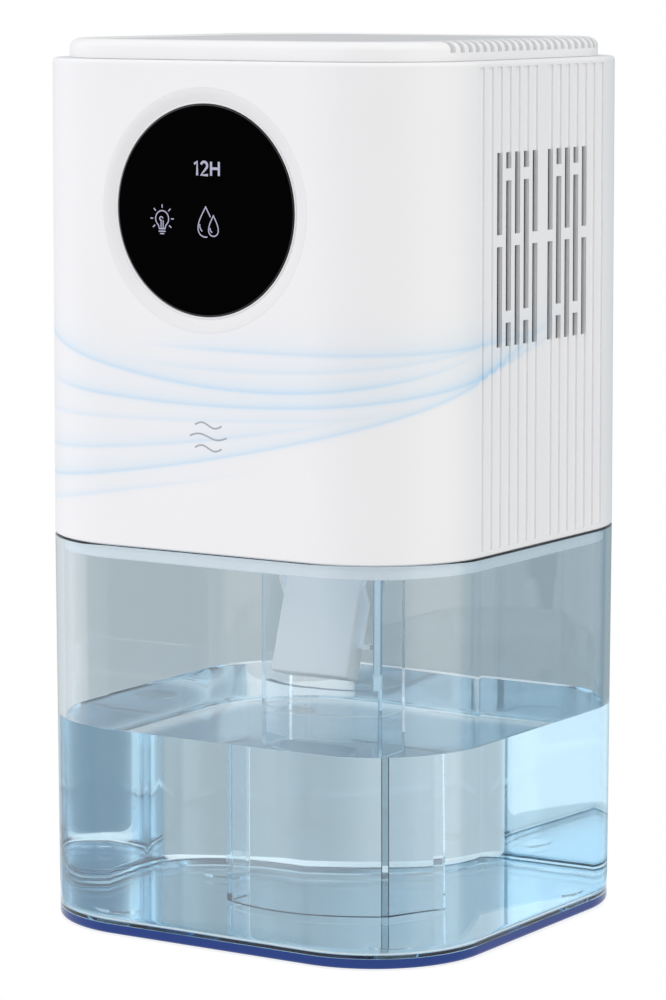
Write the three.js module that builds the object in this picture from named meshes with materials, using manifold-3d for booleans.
// A small Peltier dehumidifier: a head unit with a touch panel that stands on a clear water tank.
// Millimetres, +Z up, the touch panel faces -Y, and the origin is the centre of the footprint on the ground.
// Heights in this file are measured from a datum inside the tank's floor. place() lifts each piece by the datum's
// height above the ground.
import * as THREE from 'three';
import { mergeVertices } from 'three/addons/utils/BufferGeometryUtils.js';
import Module from 'manifold-3d';

const wasm = await Module();
wasm.setup();

// ---------- driving dimensions ----------
const WIDTH = 160;
const DEPTH = 158;
const CORNER = 41;
const WALL = 2.5;
const GAP = 0.3;
const DATUM_HEIGHT = 2.3;
const GROUND_Z = -DATUM_HEIGHT;
const SEAM_Z = 128.5;
const LEDGE_Z = 287.2;
const TOP_Z = 293.6;

const TANK_FOOT_SCALE = 0.99;
const TANK_BOTTOM_Z = GROUND_Z + 0.5;
const TANK_FLOOR_Z = 2.4;
const TANK_FILLET = 1.4;
const PAD_RADIUS = 7.5;
const PAD_X = 50;
const PAD_Y = 46;
const PAD_TOP_Z = GROUND_Z + 1.7;

const GUARD_HALF = 23.9;
const GUARD_FRONT_Y = -8.5;
const GUARD_BOW = 8;
const GUARD_BACK_Y = 6.5;
const GUARD_WALL = 2.6;
const GUARD_TOP_Z = 121.5;
const GUARD_CUT_Z = 75;

const SKIRT_INSET = 3.1;
const SKIRT_LOW_Z = 123.5;
const SKIRT_TOP_Z = 131;
const PLATE_LOW_Z = 126;
const PLATE_TOP_Z = 128.6;

const BOSS_X = 62.3;
const BOSS_Y = 61.3;
const BOSS_RADIUS = 6.5;
const BOSS_LOW_Z = 131.5;
const BOSS_TOP_Z = 235.5;
const SCREW_BORE = 1.8;
const SCREW_SHANK = 1.5;

const COLUMN_START = 5.0;
const COLUMN_PITCH = 5.7;
const COLUMN_WIDTH = 3.3;
const COLUMN_DEPTH = 0.7;
const COLUMNS_PER_GROUP = 7;
const SLOTTED_PER_GROUP = 5;
const COLUMN_LOW_Z = 130.3;
const COLUMN_HIGH_Z = 285.3;
const SLOT_LOW_Z = 195.2;
const SLOT_HIGH_Z = 257.8;
const ODD_BRIDGES = [[227.6, 231.4]];
const EVEN_BRIDGES = [[202.9, 206.7], [248.7, 252.6]];

const PANEL_Z = 239.3;
const RING_RADIUS = 39.4;
const PANEL_RADIUS = 34.2;
const DISH_DEPTH = 1.1;

const LID_INSET = 5.7;
const LID_ROUND = 2.4;
const LID_RIB_COUNT = 21;
const LID_RIB_PITCH = 4.6;
const LID_SLOT_WIDTH = 2.4;
const LID_SLOT_LOW_Z = 290;
const LID_SLOT_INNER_X = 64;
const INSERT_HALF_X = 62;
const INSERT_HALF_Y = 66;
const INSERT_CORNER = 28;

const FLOAT_PIN_Y = -1.5;
const FLOAT_PIN_Z = 117;
const FLOAT_TILT = THREE.MathUtils.degToRad(18);
const FLOAT_HALF_X = 14.5;
const FLOAT_FRONT = 3.9;
const FLOAT_BACK = 5.1;
const FLOAT_BELOW = 40.1;
const FLOAT_ABOVE = 3.4;

const FAN_SIZE = 80;
const FAN_BORE = 38.4;
const FAN_SCREW_OFFSET = 35.75;
const FAN_LOW_Z = 238.7;
const FAN_HEIGHT = 25;
const FAN_PLATE_LOW_Z = 236;
const FAN_PLATE_TOP_Z = 238.4;
const FAN_BLADES = 7;

const BOARD_Y = 61.3;
const BOARD_SCREW_X = 30;
const BOARD_SCREW_Z = 180;
const JACK_Z = 142;
const SPOUT_Y = -36;
const LIGHT_Y = 45;

// ---------- materials ----------
function plastic(color, roughness = 0.4) {
  return new THREE.MeshStandardMaterial({ color, roughness, metalness: 0 });
}

function metal(color, roughness = 0.35) {
  return new THREE.MeshStandardMaterial({ color, roughness, metalness: 1 });
}

const white = plastic(0xf2f2f6, 0.3);
const paleGrey = plastic(0xd9dadd, 0.45);
const glossBlack = plastic(0x060607, 0.08);
const clearBlue = new THREE.MeshStandardMaterial({ color: 0xbfd8ea, roughness: 0.05, transparent: true, opacity: 0.4 });
const rubber = plastic(0xdfe3e6, 0.8);
const darkPlastic = plastic(0x26272a, 0.5);
const greyMesh = plastic(0x85878a, 0.7);
const boardGreen = plastic(0x1f5a37, 0.5);
const aluminium = metal(0xb9bcc0, 0.35);
const steel = metal(0x9a9da1, 0.3);
const ceramic = plastic(0xf0eee8, 0.5);
const foam = plastic(0x3a3b3e, 0.95);
const wire = plastic(0x1c1c1e, 0.5);

// ---------- solids ----------
// A closed geometry as a boolean solid, with its shared corners merged.
function solid(geometry) {
  const bare = geometry.clone();
  for (const name of Object.keys(bare.attributes)) {
    if (name !== 'position') bare.deleteAttribute(name);
  }
  const merged = mergeVertices(bare, 1e-4);
  const corners = merged.index.array;
  const kept = [];
  for (let i = 0; i < corners.length; i += 3) {
    const [a, b, c] = [corners[i], corners[i + 1], corners[i + 2]];
    if (a !== b && b !== c && c !== a) kept.push(a, b, c);
  }
  return new wasm.Manifold(new wasm.Mesh({
    numProp: 3,
    vertProperties: new Float32Array(merged.attributes.position.array),
    triVerts: new Uint32Array(kept),
  }));
}

function geometryOf(body) {
  const mesh = body.getMesh();
  const geometry = new THREE.BufferGeometry();
  geometry.setAttribute('position', new THREE.BufferAttribute(new Float32Array(mesh.vertProperties), 3));
  geometry.setIndex(new THREE.BufferAttribute(new Uint32Array(mesh.triVerts), 1));
  geometry.computeVertexNormals();
  return geometry;
}

function joined(bodies) {
  return bodies.reduce((sum, body) => sum.add(body));
}

function cut(body, tools) {
  return tools.reduce((rest, tool) => rest.subtract(tool), body);
}

function prism(shape, low, high, arcSteps = 4) {
  const options = { depth: high - low, bevelEnabled: false, curveSegments: arcSteps };
  return solid(new THREE.ExtrudeGeometry(shape, options).translate(0, 0, low));
}

// A prism whose lower and upper rims are rounded inwards by the given amount.
function roundedPrism(shape, low, high, round, arcSteps = 4, roundSteps = 2) {
  const options = {
    depth: high - low - 2 * round,
    bevelEnabled: true,
    bevelThickness: round,
    bevelSize: round,
    bevelOffset: -round,
    bevelSegments: roundSteps,
    curveSegments: arcSteps,
  };
  return solid(new THREE.ExtrudeGeometry(shape, options).translate(0, 0, low + round));
}

// A prism of a shape drawn in the XZ plane, from one Y to another.
function prismAlongY(shape, low, high, arcSteps = 6) {
  const options = { depth: high - low, bevelEnabled: false, curveSegments: arcSteps };
  return solid(new THREE.ExtrudeGeometry(shape, options).rotateX(Math.PI / 2).translate(0, high, 0));
}

// A prism of a shape drawn in the YZ plane, from one X to another.
function prismAlongX(shape, low, high) {
  const options = { depth: high - low, bevelEnabled: false };
  const geometry = new THREE.ExtrudeGeometry(shape, options).rotateX(Math.PI / 2).rotateZ(Math.PI / 2);
  return solid(geometry.translate(low, 0, 0));
}

function box(x0, x1, y0, y1, z0, z1) {
  const geometry = new THREE.BoxGeometry(x1 - x0, y1 - y0, z1 - z0);
  return solid(geometry.translate((x0 + x1) / 2, (y0 + y1) / 2, (z0 + z1) / 2));
}

function rod(x, y, radius, low, high, sides = 16) {
  const geometry = new THREE.CylinderGeometry(radius, radius, high - low, sides).rotateX(Math.PI / 2);
  return solid(geometry.translate(x, y, (low + high) / 2));
}

function rodAlongY(x, z, radius, low, high, sides = 16) {
  const geometry = new THREE.CylinderGeometry(radius, radius, high - low, sides);
  return solid(geometry.translate(x, (low + high) / 2, z));
}

function rodAlongX(y, z, radius, low, high, sides = 16) {
  const geometry = new THREE.CylinderGeometry(radius, radius, high - low, sides).rotateZ(Math.PI / 2);
  return solid(geometry.translate((low + high) / 2, y, z));
}

// ---------- outlines ----------
function roundedRect(halfX, halfY, radius) {
  const shape = new THREE.Shape();
  shape.moveTo(radius - halfX, -halfY);
  shape.lineTo(halfX - radius, -halfY);
  shape.absarc(halfX - radius, radius - halfY, radius, -Math.PI / 2, 0, false);
  shape.lineTo(halfX, halfY - radius);
  shape.absarc(halfX - radius, halfY - radius, radius, 0, Math.PI / 2, false);
  shape.lineTo(radius - halfX, halfY);
  shape.absarc(radius - halfX, halfY - radius, radius, Math.PI / 2, Math.PI, false);
  shape.lineTo(-halfX, radius - halfY);
  shape.absarc(radius - halfX, radius - halfY, radius, Math.PI, 1.5 * Math.PI, false);
  return shape;
}

// The outline that every casing shares, moved inwards by the given amount.
function casing(inset) {
  return roundedRect(WIDTH / 2 - inset, DEPTH / 2 - inset, CORNER - inset);
}

function polygon(points) {
  return new THREE.Shape(points.map(([x, y]) => new THREE.Vector2(x, y)));
}

function corners(x, y) {
  return [[-x, -y], [x, -y], [-x, y], [x, y]];
}

// ---------- tank ----------
function guardShape() {
  const radius = (GUARD_HALF ** 2 + GUARD_BOW ** 2) / (2 * GUARD_BOW);
  const centreY = GUARD_FRONT_Y - GUARD_BOW + radius;
  const outerTurn = Math.asin(GUARD_HALF / radius);
  const innerHalf = GUARD_HALF - GUARD_WALL;
  const innerRadius = radius - GUARD_WALL;
  const innerTurn = Math.asin(innerHalf / innerRadius);
  const straight = -Math.PI / 2;
  const shape = new THREE.Shape();
  shape.moveTo(-GUARD_HALF, GUARD_BACK_Y);
  shape.lineTo(-GUARD_HALF, GUARD_FRONT_Y);
  shape.absarc(0, centreY, radius, straight - outerTurn, straight + outerTurn, false);
  shape.lineTo(GUARD_HALF, GUARD_BACK_Y);
  shape.lineTo(innerHalf, GUARD_BACK_Y);
  shape.absarc(0, centreY, innerRadius, straight + innerTurn, straight - innerTurn, true);
  shape.lineTo(-innerHalf, GUARD_BACK_Y);
  return shape;
}

function waterTank() {
  const blank = roundedPrism(casing(0), TANK_BOTTOM_Z, SEAM_Z + 10, TANK_FILLET);
  const rimZ = SEAM_Z - GAP;
  const above = box(-WIDTH, WIDTH, -DEPTH, DEPTH, rimZ, SEAM_Z + 20);
  const inside = prism(casing(WALL), TANK_FLOOR_Z, SEAM_Z + 20);
  const shell = cut(blank, [above, inside]);
  // The walls lean in a little towards the foot, so that the tank leaves its mould.
  const drafted = shell.warp((point) => {
    const scale = 1 + (TANK_FOOT_SCALE - 1) * (1 - point[2] / rimZ);
    point[0] *= scale;
    point[1] *= scale;
  });
  const guard = prism(guardShape(), TANK_FLOOR_Z - 1, GUARD_TOP_Z, 8);
  const innerHalf = GUARD_HALF - GUARD_WALL;
  const window = box(-innerHalf, innerHalf, GUARD_FRONT_Y - 2 * GUARD_BOW, GUARD_FRONT_Y + 4, GUARD_CUT_Z, SEAM_Z);
  const pockets = corners(PAD_X, PAD_Y).map(([x, y]) => rod(x, y, PAD_RADIUS + GAP, GROUND_Z - 1, PAD_TOP_Z + GAP, 20));
  return cut(drafted.add(guard.subtract(window)), pockets);
}

function tankPad(x, y) {
  return rod(x, y, PAD_RADIUS, GROUND_Z, PAD_TOP_Z, 20);
}

// ---------- head casings ----------
function sideColumns(side) {
  const tools = [];
  const faceX = WIDTH / 2;
  for (const group of [-1, 1]) {
    for (let k = 0; k < COLUMNS_PER_GROUP; k += 1) {
      const y = group * (COLUMN_START + k * COLUMN_PITCH);
      const slotted = k < SLOTTED_PER_GROUP;
      const bridges = k % 2 === 0 ? ODD_BRIDGES : EVEN_BRIDGES;
      const stops = slotted ? [COLUMN_LOW_Z, ...bridges.flat(), COLUMN_HIGH_Z] : [COLUMN_LOW_Z, COLUMN_HIGH_Z];
      for (let i = 0; i < stops.length; i += 2) {
        const x = [side * (faceX - COLUMN_DEPTH), side * (faceX + 1)].sort((a, b) => a - b);
        tools.push(box(x[0], x[1], y - COLUMN_WIDTH / 2, y + COLUMN_WIDTH / 2, stops[i], stops[i + 1]));
        if (!slotted) continue;
        const low = Math.max(stops[i], SLOT_LOW_Z);
        const high = Math.min(stops[i + 1], SLOT_HIGH_Z);
        const through = [side * (faceX - WALL - 1), side * (faceX + 1)].sort((a, b) => a - b);
        tools.push(box(through[0], through[1], y - COLUMN_WIDTH / 2, y + COLUMN_WIDTH / 2, low, high));
      }
    }
  }
  return tools;
}

function housing() {
  const outer = prism(casing(0), SEAM_Z, LEDGE_Z);
  const inner = prism(casing(WALL), SEAM_Z - 1, LEDGE_Z - WALL);
  const lidOpening = prism(casing(LID_INSET + 3), LEDGE_Z - 5, LEDGE_Z + 1);
  const panelHole = rodAlongY(0, PANEL_Z, RING_RADIUS + GAP, -DEPTH / 2 - 1, -DEPTH / 2 + WALL + 1, 36);
  const jackHole = box(-5.3, 5.3, DEPTH / 2 - WALL - 1, DEPTH / 2 + 1, JACK_Z - 4.4, JACK_Z + 4.4);
  const shell = cut(outer, [inner, lidOpening, panelHole, jackHole, ...sideColumns(1), ...sideColumns(-1)]);
  const bosses = corners(BOSS_X, BOSS_Y).map(([x, y]) => rod(x, y, BOSS_RADIUS, BOSS_LOW_Z, BOSS_TOP_Z, 14));
  const standoffs = [-BOARD_SCREW_X, BOARD_SCREW_X].map(
    (x) => rodAlongY(x, BOARD_SCREW_Z, 3.5, BOARD_Y + 1.6 + GAP, DEPTH / 2 - 1, 12));
  const bossBores = corners(BOSS_X, BOSS_Y).flatMap(([x, y]) => [
    rod(x, y, SCREW_BORE, BOSS_LOW_Z - 1, BOSS_LOW_Z + 16, 10),
    rod(x, y, SCREW_BORE, BOSS_TOP_Z - 14, BOSS_TOP_Z + 1, 10),
  ]);
  const standoffBores = [-BOARD_SCREW_X, BOARD_SCREW_X].map(
    (x) => rodAlongY(x, BOARD_SCREW_Z, SCREW_BORE, BOARD_Y, BOARD_Y + 13, 10));
  return cut(joined([shell, ...bosses, ...standoffs]), [...bossBores, ...standoffBores]);
}

function basePlate() {
  const skirt = prism(casing(SKIRT_INSET), SKIRT_LOW_Z, SKIRT_TOP_Z);
  const hollow = prism(casing(SKIRT_INSET + 2), SKIRT_LOW_Z - 1, SKIRT_TOP_Z + 1);
  const plate = prism(casing(SKIRT_INSET), PLATE_LOW_Z, PLATE_TOP_Z);
  const tools = corners(BOSS_X, BOSS_Y).map(([x, y]) => rod(x, y, SCREW_BORE, 120, 135, 10));
  tools.push(rod(0, SPOUT_Y, 4.3, 120, 135));
  tools.push(rod(0, LIGHT_Y, 9.3, 120, 135, 20));
  for (const x of [-11, 11]) tools.push(rod(x, 5, SCREW_BORE, 120, 135, 10));
  for (const x of [-49, 49]) tools.push(rod(x, 0, SCREW_BORE, 120, 135, 10));
  return cut(joined([skirt.subtract(hollow), plate]), tools);
}

function topCover() {
  const blank = roundedPrism(casing(LID_INSET), LEDGE_Z - 10, TOP_Z, LID_ROUND, 4, 1);
  const below = box(-WIDTH, WIDTH, -DEPTH, DEPTH, LEDGE_Z - 20, LEDGE_Z + GAP);
  const hollow = prism(casing(LID_INSET + 2), LEDGE_Z - 11, TOP_Z - 2.8);
  const recess = prism(roundedRect(INSERT_HALF_X + GAP, INSERT_HALF_Y + GAP, INSERT_CORNER), TOP_Z - 1.5, TOP_Z + 1);
  const plug = prism(casing(LID_INSET + 3.4), LEDGE_Z - 5.5, TOP_Z - 2);
  const plugHollow = prism(casing(LID_INSET + 5.4), LEDGE_Z - 6, TOP_Z - 2.8);
  const slots = [];
  for (let i = 0; i < LID_RIB_COUNT; i += 1) {
    const y = (i - (LID_RIB_COUNT - 1) / 2) * LID_RIB_PITCH;
    const half = LID_SLOT_WIDTH / 2;
    slots.push(box(LID_SLOT_INNER_X, WIDTH / 2, y - half, y + half, LID_SLOT_LOW_Z, TOP_Z + 1));
    slots.push(box(-WIDTH / 2, -LID_SLOT_INNER_X, y - half, y + half, LID_SLOT_LOW_Z, TOP_Z + 1));
  }
  const cap = cut(blank, [below, hollow]);
  return cut(cap.add(plug.subtract(plugHollow)), [recess, ...slots]);
}

function topInsert() {
  return prism(roundedRect(INSERT_HALF_X, INSERT_HALF_Y, INSERT_CORNER), TOP_Z - 1.2, TOP_Z - 0.4);
}

// ---------- touch panel ----------
function lathe(profile, sides) {
  const points = profile.map(([radius, height]) => new THREE.Vector2(radius, height));
  return new THREE.LatheGeometry(points, sides);
}

function panelRing() {
  const seat = PANEL_RADIUS + 0.4;
  const profile = [
    [seat, -DEPTH / 2 + DISH_DEPTH],
    [seat, -75.6],
    [31.5, -75.6],
    [31.5, -74],
    [42.5, -74],
    [42.5, -DEPTH / 2 + WALL + 0.7],
    [RING_RADIUS, -DEPTH / 2 + WALL + 0.7],
    [RING_RADIUS, -DEPTH / 2],
    [RING_RADIUS - 0.8, -DEPTH / 2],
    [seat, -DEPTH / 2 + DISH_DEPTH],
  ];
  return solid(lathe(profile.reverse(), 36).translate(0, 0, PANEL_Z));
}

function controlPanel() {
  return rodAlongY(0, PANEL_Z, PANEL_RADIUS, -78.2, -75.9, 36);
}

function controlBoard() {
  const disc = rodAlongY(0, PANEL_Z, 30, -73.7, -72.1, 24);
  const connector = box(-4, 4, -72.2, -68.4, 219, 224);
  const chip = box(-5, 5, -72.2, -70.8, 240, 250);
  return joined([disc, connector, chip]);
}

// ---------- cooling core ----------
// A row of fins on a base, drawn in the XY plane. The fins point along the given direction of Y.
function finShape(halfX, baseY, rootY, tipY, fins, thickness) {
  const direction = Math.sign(tipY - rootY);
  const points = [[-halfX * direction, baseY], [halfX * direction, baseY]];
  const pitch = (2 * halfX - thickness) / (fins - 1);
  const back = [];
  for (let i = 0; i < fins; i += 1) {
    const x = halfX - i * pitch;
    back.push([x * direction, rootY], [x * direction, tipY]);
    back.push([(x - thickness) * direction, tipY], [(x - thickness) * direction, rootY]);
  }
  return polygon([...points, ...back]);
}

function coldSink() {
  return prism(finShape(35, -20, -24, -46, 12, 1.2), 143, 213);
}

function heatSink() {
  return prism(finShape(42, -15.6, -10.6, 22, 14, 1.4), 138, 228);
}

function insulationFrame() {
  const outer = box(-35, 35, -19.7, -15.9, 143, 213);
  return outer.subtract(box(-20.4, 20.4, -20, -15, 157.6, 198.4));
}

function peltierModule() {
  return box(-20, 20, -19.7, -15.9, 158, 198);
}

function coreBracket() {
  const outline = polygon([
    [42.6, 129], [52, 129], [52, 131], [44.6, 131], [44.6, 231], [-44.6, 231],
    [-44.6, 131], [-52, 131], [-52, 129], [-42.6, 129], [-42.6, 229], [42.6, 229],
  ]);
  const bores = [-49, 49].map((x) => rod(x, 0, SCREW_BORE, 125, 135, 10));
  return cut(prismAlongY(outline, -8, 8), bores);
}

function dripTray() {
  const outer = box(-40, 40, -50, -17, 133, 141);
  const hollow = box(-38.4, 38.4, -48.4, -18.6, 134.8, 142);
  const legs = [-30, 30].map((x) => box(x - 3, x + 3, -40, -34, PLATE_TOP_Z + GAP, 134));
  const spout = rod(0, SPOUT_Y, 3.9, 124.5, 134);
  const bore = rod(0, SPOUT_Y, 2.4, 124, 136);
  return cut(joined([outer.subtract(hollow), ...legs, spout]), [bore]);
}

// ---------- fan ----------
function fanPlate() {
  const full = prism(casing(WALL + 2.5), FAN_PLATE_LOW_Z, FAN_PLATE_TOP_Z);
  // The front edge stops short of the touch panel's ring and board.
  const plate = full.subtract(box(-WIDTH, WIDTH, -DEPTH, -67, FAN_PLATE_LOW_Z - 1, FAN_PLATE_TOP_Z + 1));
  const tools = corners(BOSS_X, BOSS_Y).map(([x, y]) => rod(x, y, SCREW_BORE, 230, 245, 10));
  for (const [x, y] of corners(FAN_SCREW_OFFSET, FAN_SCREW_OFFSET)) tools.push(rod(x, y, SCREW_BORE, 230, 245, 10));
  tools.push(rod(0, 0, FAN_BORE, 230, 245, 32));
  tools.push(rod(20, 52, 4, 230, 245, 12));
  return cut(plate, tools);
}

function fanFrame() {
  const top = FAN_LOW_Z + FAN_HEIGHT;
  const block = prism(roundedRect(FAN_SIZE / 2, FAN_SIZE / 2, 5), FAN_LOW_Z, top, 2);
  const tools = [rod(0, 0, FAN_BORE, FAN_LOW_Z - 1, top + 1, 32)];
  for (const [x, y] of corners(FAN_SCREW_OFFSET, FAN_SCREW_OFFSET)) {
    tools.push(rod(x, y, SCREW_BORE, FAN_LOW_Z - 1, top + 1, 10));
  }
  const struts = box(-39.5, 39.5, -1.5, 1.5, FAN_LOW_Z, FAN_LOW_Z + 2);
  const crossStruts = box(-1.5, 1.5, -39.5, 39.5, FAN_LOW_Z, FAN_LOW_Z + 2);
  const motor = rod(0, 0, 15, FAN_LOW_Z, FAN_LOW_Z + 2, 20);
  const bearing = rod(0, 0, 2, FAN_LOW_Z - 1, FAN_LOW_Z + 3, 12);
  return joined([cut(block, tools), struts, crossStruts, motor]).subtract(bearing);
}

function fanRotor() {
  const low = FAN_LOW_Z + 3.2;
  const hub = rod(0, 0, 16.5, low, low + 19, 24);
  const shaft = rod(0, 0, SCREW_SHANK, FAN_LOW_Z + 0.5, low + 1, 12);
  const blades = [];
  for (let i = 0; i < FAN_BLADES; i += 1) {
    const blade = new THREE.BoxGeometry(21.5, 18, 1.6).rotateX(THREE.MathUtils.degToRad(42));
    blade.translate(26, 0, low + 9.5).rotateZ((i * 2 * Math.PI) / FAN_BLADES);
    blades.push(solid(blade));
  }
  return joined([hub, shaft, ...blades]);
}

// ---------- electrics ----------
function mainBoard() {
  const board = box(-36, 36, BOARD_Y, BOARD_Y + 1.6, 150, 214);
  const parts = [
    box(16, 24, BOARD_Y - 4, BOARD_Y + 0.1, 203, 209),
    box(30, 36, BOARD_Y - 4, BOARD_Y + 0.1, 195, 201),
    box(24, 30, BOARD_Y - 4, BOARD_Y + 0.1, 151, 156),
    box(-14, 2, BOARD_Y - 12, BOARD_Y + 0.1, 160, 174),
    rodAlongY(-22, 200, 5, BOARD_Y - 14, BOARD_Y + 0.1, 12),
    rodAlongY(-8, 200, 5, BOARD_Y - 14, BOARD_Y + 0.1, 12),
  ];
  const bores = [-BOARD_SCREW_X, BOARD_SCREW_X].map(
    (x) => rodAlongY(x, BOARD_SCREW_Z, SCREW_BORE, BOARD_Y - 1, BOARD_Y + 3, 10));
  return cut(joined([board, ...parts]), bores);
}

function powerInlet() {
  const body = box(-5, 5, 64, DEPTH / 2 - 0.1, JACK_Z - 4.1, JACK_Z + 4.1);
  const socket = rodAlongY(0, JACK_Z, 3.2, 69, DEPTH / 2 + 1, 16);
  const pin = rodAlongY(0, JACK_Z, 1, 68, DEPTH / 2 - 1.5, 10);
  return body.subtract(socket).add(pin);
}

function dustScreen(side) {
  const x = [side * 75.8, side * 77.1].sort((a, b) => a - b);
  return box(x[0], x[1], -36, 36, 189, 264);
}

function reedSwitch() {
  return box(-8, 8, 1, 5, PLATE_TOP_Z + GAP, PLATE_TOP_Z + GAP + 3);
}

function tankLightLens() {
  const body = rod(0, LIGHT_Y, 9, 125.4, PLATE_TOP_Z + 1, 20);
  return body.add(rod(0, LIGHT_Y, 11, PLATE_TOP_Z + GAP, PLATE_TOP_Z + GAP + 1.4, 20));
}

function tankLightBoard() {
  const disc = rod(0, LIGHT_Y, 10, 131, 132.4, 20);
  return disc.add(box(-3, 3, LIGHT_Y - 3, LIGHT_Y + 3, 132.3, 134));
}

function cable(route, radius) {
  const section = new THREE.Shape().absarc(0, 0, radius, 0, 2 * Math.PI, false);
  const path = new THREE.CatmullRomCurve3(route.map(([x, y, z]) => new THREE.Vector3(x, y, z)));
  const options = { steps: 20, bevelEnabled: false, extrudePath: path, curveSegments: 4 };
  return solid(new THREE.ExtrudeGeometry(section, options));
}

// ---------- float ----------
// Float pieces are drawn upright with the pin's centre at the origin, then leaned forward and lifted into place.
function leaned(body) {
  const place = new THREE.Matrix4().makeTranslation(0, FLOAT_PIN_Y, FLOAT_PIN_Z);
  place.multiply(new THREE.Matrix4().makeRotationX(-FLOAT_TILT));
  return body.transform(place.toArray());
}

function floatBox() {
  const block = box(-FLOAT_HALF_X, FLOAT_HALF_X, -FLOAT_FRONT, FLOAT_BACK, -FLOAT_BELOW, FLOAT_ABOVE);
  const pinBore = rodAlongX(0, 0, SCREW_BORE, -20, 20, 12);
  const magnetPocket = rodAlongY(0, -9, 4.3, FLOAT_BACK - 3, FLOAT_BACK + 1, 16);
  return leaned(cut(block, [pinBore, magnetPocket]));
}

function floatMagnet() {
  return leaned(rodAlongY(0, -9, 4, FLOAT_BACK - 2.7, FLOAT_BACK - 0.3, 16));
}

function floatPin() {
  return rodAlongX(FLOAT_PIN_Y, FLOAT_PIN_Z, SCREW_SHANK, -18.2, 18.2, 12);
}

function floatBracket() {
  const flange = box(-18.5, 18.5, -10, 9, 123.9, 125.7);
  const lean = Math.tan(FLOAT_TILT);
  const armLowZ = 89;
  const armTopZ = 124.5;
  const armY = (z) => FLOAT_PIN_Y + 0.5 + (z - FLOAT_PIN_Z) * lean;
  const arm = polygon([
    [armY(armLowZ), armLowZ], [armY(armLowZ) + 5, armLowZ],
    [armY(armTopZ) + 5, armTopZ], [armY(armTopZ) - 5, armTopZ], [armY(110) - 5, 110], [armY(104), 104],
  ]);
  const pieces = [flange];
  for (const side of [-1, 1]) {
    const cheek = [side * 15.3, side * 17].sort((a, b) => a - b);
    pieces.push(prismAlongX(arm, cheek[0], cheek[1]));
  }
  pieces.push(box(15.3, 19.8, armY(armLowZ), armY(armLowZ) + 5, armLowZ, armLowZ + 1.4));
  const pinBore = rodAlongX(FLOAT_PIN_Y, FLOAT_PIN_Z, SCREW_BORE, -20, 20, 12);
  const screwBores = [-11, 11].map((x) => rod(x, 5, SCREW_BORE, 120, 130, 10));
  return cut(joined(pieces), [pinBore, ...screwBores]);
}

// ---------- screws ----------
// A pan-head screw along +Z: its head is below the origin and its shank runs up from it.
function screwGeometry(length) {
  const headRadius = 2.9;
  const headHeight = 1.8;
  const profile = [
    [0, -headHeight], [headRadius - 0.6, -headHeight], [headRadius, -headHeight + 0.6],
    [headRadius, 0], [SCREW_SHANK, 0], [SCREW_SHANK, length], [0, length],
  ];
  return lathe(profile, 8).rotateX(Math.PI / 2);
}

// ---------- assembly ----------
const dehumidifier = new THREE.Group();
const tankGroup = new THREE.Group();
const headGroup = new THREE.Group();
dehumidifier.add(tankGroup, headGroup);

function place(group, name, body, material) {
  const mesh = new THREE.Mesh(geometryOf(body), material.clone());
  mesh.name = name;
  mesh.position.z = DATUM_HEIGHT;
  group.add(mesh);
  return mesh;
}

// Puts a screw's head underside at the given point, with its shank along +Z, or turned first.
function placeScrew(name, length, [x, y, z], turnX = 0) {
  const mesh = place(headGroup, name, solid(screwGeometry(length)), steel);
  mesh.rotation.x = turnX;
  mesh.position.set(x, y, z + DATUM_HEIGHT);
}

place(tankGroup, 'water_tank', waterTank(), clearBlue);
const padNames = ['foot_pad_front_left', 'foot_pad_front_right', 'foot_pad_rear_left', 'foot_pad_rear_right'];
corners(PAD_X, PAD_Y).forEach(([x, y], i) => place(tankGroup, padNames[i], tankPad(x, y), rubber));

place(headGroup, 'housing', housing(), white);
place(headGroup, 'top_cover', topCover(), white);
place(headGroup, 'top_insert', topInsert(), paleGrey);
place(headGroup, 'base_plate', basePlate(), white);
place(headGroup, 'panel_ring', panelRing(), paleGrey);
place(headGroup, 'touch_panel', controlPanel(), glossBlack);
place(headGroup, 'touch_board', controlBoard(), boardGreen);
place(headGroup, 'dust_screen_left', dustScreen(-1), greyMesh);
place(headGroup, 'dust_screen_right', dustScreen(1), greyMesh);

place(headGroup, 'cold_sink', coldSink(), aluminium);
place(headGroup, 'peltier_module', peltierModule(), ceramic);
place(headGroup, 'insulation_frame', insulationFrame(), foam);
place(headGroup, 'heat_sink', heatSink(), aluminium);
place(headGroup, 'core_bracket', coreBracket(), steel);
place(headGroup, 'drip_tray', dripTray(), paleGrey);

place(headGroup, 'fan_plate', fanPlate(), darkPlastic);
place(headGroup, 'fan_frame', fanFrame(), darkPlastic);
place(headGroup, 'fan_rotor', fanRotor(), darkPlastic);

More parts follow.
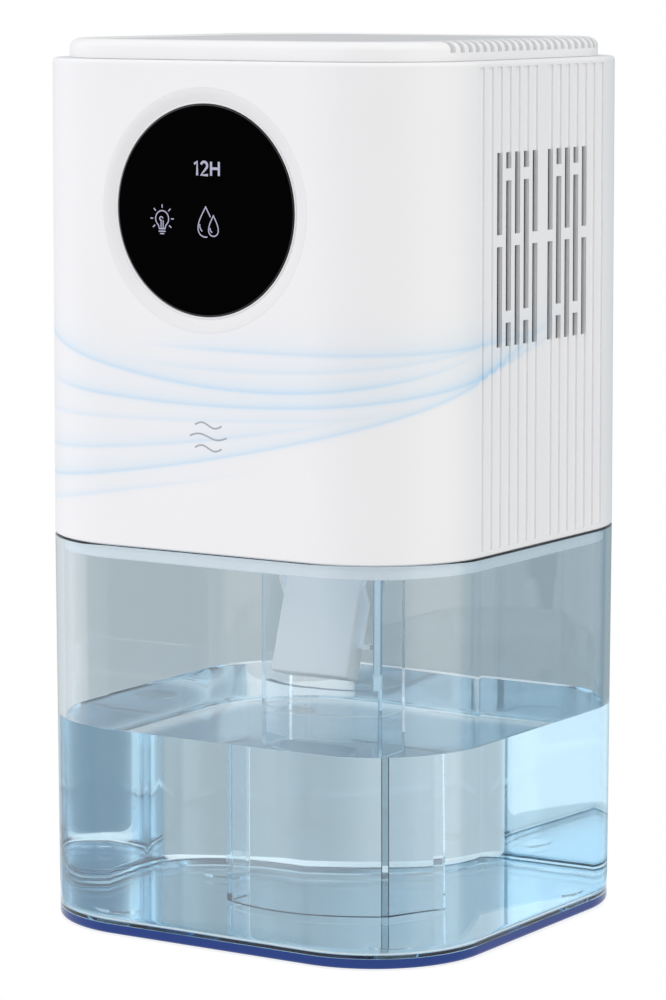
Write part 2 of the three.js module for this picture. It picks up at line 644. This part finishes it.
place(headGroup, 'main_board', mainBoard(), boardGreen);
place(headGroup, 'power_inlet', powerInlet(), darkPlastic);
place(headGroup, 'reed_switch', reedSwitch(), darkPlastic);
place(headGroup, 'tank_light_lens', tankLightLens(), clearBlue);
place(headGroup, 'tank_light_board', tankLightBoard(), ceramic);

place(headGroup, 'float_bracket', floatBracket(), white);
place(headGroup, 'float_pin', floatPin(), steel);
place(headGroup, 'float', floatBox(), white);
place(headGroup, 'float_magnet', floatMagnet(), steel);

const fanCableRoute = [[20, 59, 209.4], [20, 59, 222], [20, 53, 236], [20, 50, 246], [20, 45, 251], [20, 40.4, 251]];
const panelCableRoute = [
  [0, -68, 221.5], [1, -64, 221.5], [20, -58, 219], [44, -44, 210], [57, -20, 203], [58, 15, 199], [50, 48, 198], [40, 59, 198], [36.5, 59.3, 198],
];
const floatCableRoute = [
  [8.4, 3, 130.6], [11, 3.2, 130.6], [20, 12, 131.6], [28, 30, 133], [30, 48, 138], [27, 58.5, 144], [27, 59.3, 150.6],
];
place(headGroup, 'fan_cable', cable(fanCableRoute, 1.4), wire);
place(headGroup, 'panel_cable', cable(panelCableRoute, 1.4), wire);
place(headGroup, 'float_cable', cable(floatCableRoute, 1.2), wire);

corners(BOSS_X, BOSS_Y).forEach(([x, y], i) => {
  placeScrew(`base_screw_${i + 1}`, 18, [x, y, PLATE_LOW_Z - GAP]);
  placeScrew(`plate_screw_${i + 1}`, 12, [x, y, FAN_PLATE_TOP_Z + GAP], Math.PI);
});
corners(FAN_SCREW_OFFSET, FAN_SCREW_OFFSET).forEach(([x, y], i) => {
  placeScrew(`fan_screw_${i + 1}`, 27, [x, y, FAN_LOW_Z + FAN_HEIGHT + GAP], Math.PI);
});
[-BOARD_SCREW_X, BOARD_SCREW_X].forEach((x, i) => {
  placeScrew(`board_screw_${i + 1}`, 10, [x, BOARD_Y - GAP, BOARD_SCREW_Z], -Math.PI / 2);
});
[-11, 11].forEach((x, i) => placeScrew(`float_bracket_screw_${i + 1}`, 5, [x, 5, 123.6]));
[-49, 49].forEach((x, i) => placeScrew(`core_screw_${i + 1}`, 5, [x, 0, 131.3], Math.PI));

export default dehumidifier;
